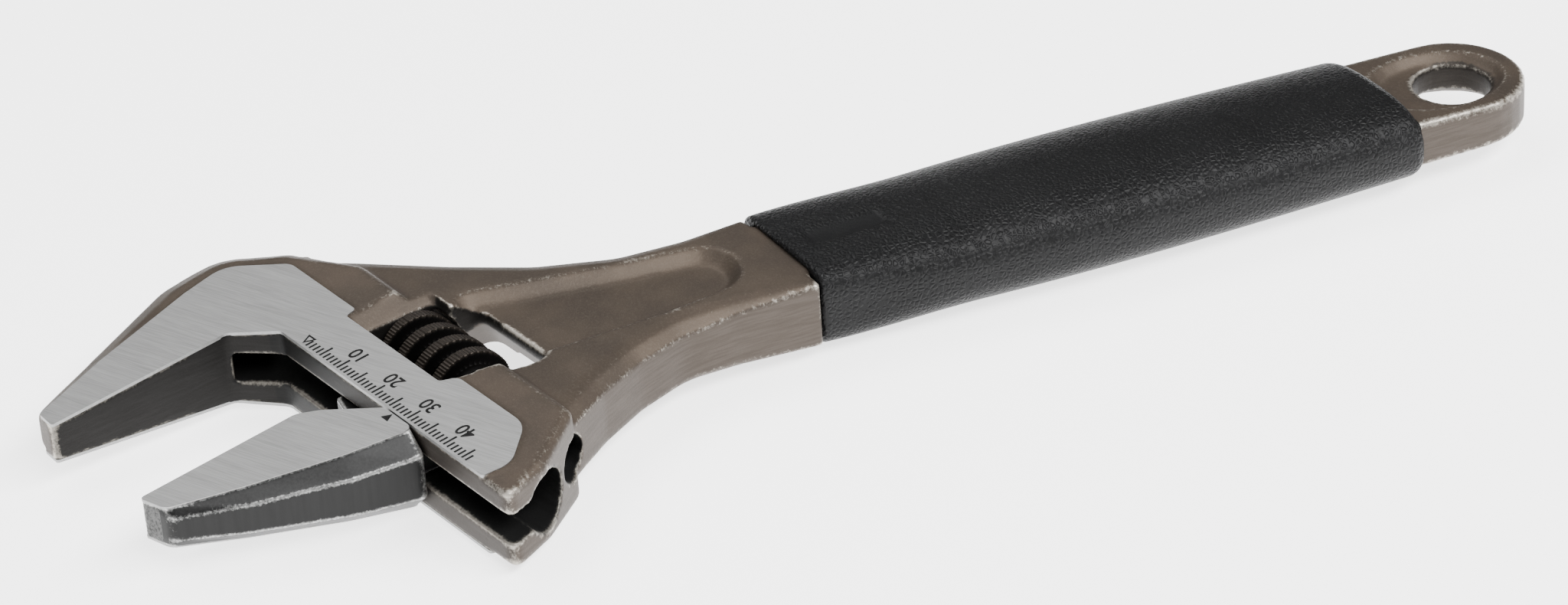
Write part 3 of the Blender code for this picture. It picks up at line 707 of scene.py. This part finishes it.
# Radius = root + depth thread - tooth depth thread^4 |cos(teeth angle / 2)|, with the thread at the phase
# (x - first) / pitch - angle / 2 pi, and never over root + end step + end slope (distance from the end).
def buildKnurl(steel):
    s = knurlSettings
    x = np.linspace(0.0, s["length"], s["rows"])
    angle = np.linspace(0.0, 2.0 * math.pi, s["columns"], endpoint=False)
    xs, angles = np.meshgrid(x, angle, indexing="ij")
    thread = threadShape((xs - s["first"]) / s["pitch"] - angles / (2.0 * math.pi))
    root = s["radius"] - s["depth"]
    fromEnd = np.minimum(xs, s["length"] - xs)
    radius = root + s["depth"] * thread
    radius = radius - s["toothDepth"] * thread ** 4 * np.abs(np.cos(s["teeth"] * angles / 2.0))
    radius = np.minimum(radius, root + s["endStep"] + s["endSlope"] * fromEnd)
    shift = knurlMiddle - s["length"] / 2.0
    outer = np.stack([xs + shift, knurlY - radius * np.cos(angles), radius * np.sin(angles)], axis=-1)
    hole = np.stack([np.zeros_like(angle), knurlY - s["hole"] * np.cos(angle), s["hole"] * np.sin(angle)],
                    axis=-1)
    ends = [hole + (place + shift, 0.0, 0.0) for place in (s["length"], 0.0)]
    points = np.concatenate([outer.reshape(-1, 3), ends[0], ends[1]])
    knurl = meshObject("knurl", points, gridFaces(s["rows"] + 2, s["columns"], closedRows=True))
    addShare(knurl, "crest", np.concatenate([(thread ** 2).ravel(), np.zeros(2 * s["columns"])]))
    knurl.data.set_sharp_from_angle(angle=math.radians(s["sharpAngle"]))
    wearIt(knurl, steel, "knurl", "dark_steel", "adjusting_knurl")


pinSettings = {"start": 6.0, "head": 43.5, "end": 54.5, "stem": 2.2, "stemEnd": 1.8, "headRadius": 3.1,
               "threadRadius": 3.08, "threadDepth": 0.1, "threadPitch": 0.8, "threadStep": 0.2,
               "threadMargins": (0.6, 1.2), "rimRadius": 3.18, "faceRadius": 2.8, "socket": 1.75,
               "socketDepth": 3.0, "stemChamfer": 0.4, "headStep": 0.02, "rimChamfer": 0.5, "middle": 0.01,
               "sides": 96, "sharpAngle": 40}


# Profile turned about the knurl's axis. Thread: radius + depth cos(2 pi x / pitch). Socket: a hexagon of
# radius socket cos 30 / cos(angle from the nearest flat's middle).
def buildPin(steel):
    s = pinSettings
    head = s["head"]
    end = s["end"]
    floor = end - s["socketDepth"]
    firstMargin, lastMargin = s["threadMargins"]
    thread = np.arange(head + firstMargin, end - lastMargin, s["threadStep"])
    wave = s["threadRadius"] + s["threadDepth"] * np.cos(2.0 * math.pi * (thread - head) / s["threadPitch"])
    stem = [s["start"], s["start"], s["start"] + s["stemChamfer"], head, head + s["headStep"]]
    x = np.concatenate([stem, thread, [end - s["rimChamfer"], end, end, floor, floor]])
    r = np.concatenate([[s["middle"], s["stemEnd"], s["stem"], s["stem"], s["headRadius"]], wave,
                        [s["rimRadius"], s["faceRadius"], s["socket"], s["socket"], s["middle"]]])
    angle = np.linspace(0.0, 2.0 * math.pi, s["sides"], endpoint=False)
    sixth = math.pi / 6.0
    hexagon = math.cos(sixth) / np.cos((angle + sixth) % (2.0 * sixth) - sixth)
    factor = np.ones((len(x), s["sides"]))
    factor[-3:-1] = hexagon
    radius = r[:, None] * factor
    xs = np.repeat(x[:, None], s["sides"], axis=1)
    points = np.stack([xs, knurlY + radius * np.cos(angle), radius * np.sin(angle)], axis=-1)
    pin = meshObject("pin", points.reshape(-1, 3), cappedFaces(len(x), s["sides"]))
    pin.data.set_sharp_from_angle(angle=math.radians(s["sharpAngle"]))
    wearIt(pin, steel, "wrench_body", "bright_steel", "spindle_pin")


springSettings = {"wire": 0.45, "radius": 3.6, "turns": 3, "gap": 0.3, "wallX": 37.5, "wallY": 9.9,
                  "stepsPerTurn": 60, "sides": 16}


# Helix from the knurl's end to the window's leaning wall: y, z = radius (cos, sin), x rises evenly; a round
# wire is carried along it.
def buildSpring(steel):
    s = springSettings
    wire = s["wire"]
    radius = s["radius"]
    start = knurlMiddle + knurlSettings["length"] / 2.0 + s["gap"] + wire
    lean = math.tan(headAngle) * (knurlY - radius - s["wallY"])
    end = s["wallX"] + lean - s["gap"] - 2 * wire
    t = np.linspace(0.0, 1.0, s["turns"] * s["stepsPerTurn"] + 1)
    angle = 2.0 * math.pi * s["turns"] * t
    around = np.linspace(0.0, 2.0 * math.pi, s["sides"], endpoint=False)
    reach = radius + wire * np.cos(around)[None, :]
    xs = (start + (end - start) * t)[:, None] + wire * np.sin(around)[None, :]
    ys = knurlY + reach * np.cos(angle)[:, None]
    zs = reach * np.sin(angle)[:, None]
    points = np.stack([xs, ys, zs], axis=-1).reshape(-1, 3)
    spring = meshObject("spring", points, cappedFaces(len(t), s["sides"]))
    wearIt(spring, steel, "wrench_body", "bright_steel", "knurl_spring")


gripSettings = {
    "start": 83.0, "length": 110.0, "slant": 0.13, "width": (12.9, 1.9, 1.8), "thick": (7.3, 0.2, 1.0),
    "power": 2.7, "boxy": 2.6, "boxyLength": 30.0, "lipDepth": 0.5, "lipLength": 0.8, "endDepth": 1.6,
    "endLength": 2.4, "tangFront": 9.3, "tangBack": 12.7, "tangPower": 12.0, "tangGap": 0.3, "tuck": 3.0,
    "eyeHalf": 4.07, "taperStart": 10.0, "label": (87.0, 101.0), "labelMiddle": -1.4, "labelHalf": 2.3,
    "labelDepth": 0.4, "labelEdge": 0.4, "rows": 260, "columns": 220, "sharpAngle": 55}


# 1 at no distance, falling evenly to 0 at reach.
def fade(distance, reach):
    return np.clip(1.0 - distance / reach, 0.0, 1.0)


# Superellipse |q/w|^n + |z/t|^n = 1 swept along the handle, with a lip in front and a rounded end. With s
# the share of the length, swell = sin(pi s^0.8), w and t = first + second s + third swell, and
# n = power + boxy (1 - along / boxyLength)^2. The end rows tuck in round the tang, and p leans by slant q.
def buildGrip(rubber):
    s = gripSettings
    share = np.concatenate([[0.0, 0.0], np.linspace(0.0, 1.0, s["rows"]), [1.0, 1.0]])
    angle = np.linspace(0.0, 2.0 * math.pi, s["columns"], endpoint=False)
    swell = np.sin(math.pi * share ** 0.8)
    along = share * s["length"]
    lip = fade(along, s["lipLength"])
    fromEnd = fade(s["length"] - along, s["endLength"])
    rounding = 1.0 - np.sqrt(np.clip(1.0 - fromEnd ** 2, 0.0, 1.0))
    shrink = s["lipDepth"] * lip ** 2 + s["endDepth"] * rounding
    width, thick = (first + second * share + third * swell - shrink
                    for first, second, third in (s["width"], s["thick"]))
    taper = (groundHalf - s["eyeHalf"]) / (eyeMiddle - s["taperStart"])
    half = groundHalf - taper * (s["start"] + along - s["taperStart"]) + s["tangGap"]
    power = (2.0 / (s["power"] + s["boxy"] * fade(along, s["boxyLength"]) ** 2))[:, None]
    c = np.cos(angle)
    n = np.sin(angle)
    q = width[:, None] * np.sign(c) * np.abs(c) ** power
    z = thick[:, None] * np.sign(n) * np.abs(n) ** power
    tangPower = 2.0 / s["tangPower"]
    for row, tangHalf in ((0, s["tangFront"]), (1, s["tangFront"]), (-2, s["tangBack"]), (-1, s["tangBack"])):
        q[row] = tangHalf * np.sign(c) * np.abs(c) ** tangPower
        z[row] = half[row] * np.sign(n) * np.abs(n) ** tangPower
    p = (s["start"] + along)[:, None] + np.zeros_like(q)
    p[0] += s["tuck"]
    p[-1] -= s["tuck"]
    p = p - s["slant"] * q
    xs, ys = toHead(p, q)
    low, high = s["label"]
    edge = s["labelEdge"]
    onLabel = np.clip((p - low) / edge, 0, 1) * np.clip((high - p) / edge, 0, 1)
    fromSide = s["labelHalf"] - np.abs(q - s["labelMiddle"])
    onLabel = onLabel * np.clip(fromSide / edge, 0, 1) * (z > 0)
    points = np.stack([xs, ys, z - s["labelDepth"] * onLabel], axis=-1)
    grip = meshObject("grip", points.reshape(-1, 3), cappedFaces(len(share), s["columns"]))
    addShare(grip, "plain", onLabel.ravel())
    grip.data.set_sharp_from_angle(angle=math.radians(s["sharpAngle"]))
    wearIt(grip, rubber, "wrench_body", "grip_rubber", "grip_sleeve")


# Each light is place, aim, size and power, in metres and watts.
stageSettings = {"floorReach": 3.0, "worldStrength": 0.32, "lights": {
    "keyLight": ((-0.25, 0.45, 0.9), (0.0, 0.0, 0.0), (1.1, 0.5), 8.0),
    "nearStrip": ((0.35, -0.6, 0.9), (0.05, 0.0, 0.0), (1.5, 0.4), 34.0),
    "sideFill": ((-1.0, -0.3, 0.4), (0.0, 0.0, 0.0), (0.5, 0.5), 3.0)}}


# Rectangle of light that looks at its aim.
def areaLight(name, place, aim, size, power):
    light = bpy.data.lights.new(name, "AREA")
    light.shape = "RECTANGLE"
    light.size = size[0]
    light.size_y = size[1]
    light.energy = power
    item = addObject(name, light)
    item.location = place
    item.rotation_euler = (Vector(aim) - Vector(place)).to_track_quat("-Z", "Y").to_euler()


# A flat square floor, the lights and an even white surround.
def buildStage(paper):
    s = stageSettings
    reach = s["floorReach"]
    corners = [(-reach, -reach, 0), (reach, -reach, 0), (reach, reach, 0), (-reach, reach, 0)]
    mesh = bpy.data.meshes.new("floor")
    mesh.from_pydata(corners, [], [(0, 1, 2, 3)])
    mesh.materials.append(paper)
    addObject("floor", mesh)
    for name, light in s["lights"].items():
        areaLight(name, *light)
    world = bpy.data.worlds.new("studio")
    world.use_nodes = True
    background = world.node_tree.nodes["Background"]
    background.inputs["Color"].default_value = (1.0, 1.0, 1.0, 1.0)
    background.inputs["Strength"].default_value = s["worldStrength"]
    bpy.context.scene.world = world


cameraSettings = {"place": (629.36, -343.59, 439.74), "target": (45.27, 71.38, 0.0), "roll": -4.03,
                  "focal": 118.8, "sensor": 36.0, "clipStart": 0.01}


# Camera placed in the head frame and rolled about its own view line.
def buildCamera():
    s = cameraSettings
    place = headMatrix @ (Vector(s["place"]) * mm)
    target = headMatrix @ (Vector(s["target"]) * mm)
    forward = (target - place).normalized()
    level = forward.cross(upwards).normalized()
    over = level.cross(forward)
    roll = math.radians(s["roll"])
    right = level * math.cos(roll) + over * math.sin(roll)
    up = right.cross(forward)
    turn = Matrix((right, up, -forward)).transposed()
    data = bpy.data.cameras.new("camera")
    data.lens = s["focal"]
    data.sensor_width = s["sensor"]
    data.sensor_fit = "HORIZONTAL"
    data.clip_start = s["clipStart"]
    camera = addObject("camera", data)
    camera.matrix_world = Matrix.Translation(place) @ turn.to_4x4()
    bpy.context.scene.camera = camera


forged = forgedSteel()
ground = groundSteel()
ink = inkBlack()
bright = brightSteel()
buildBody(forged)
print("body done")
buildGroundFaces(ground)
buildMarks(ink)
print("marks done")
buildJaw(jawSteel(), ground)
print("jaw done")
buildKnurl(knurlSteel())
buildPin(bright)
buildSpring(bright)
print("knurl, pin and spring done")
buildGrip(gripRubber())
print("grip done")
buildStage(floorPaper())
buildCamera()
print("stage done")
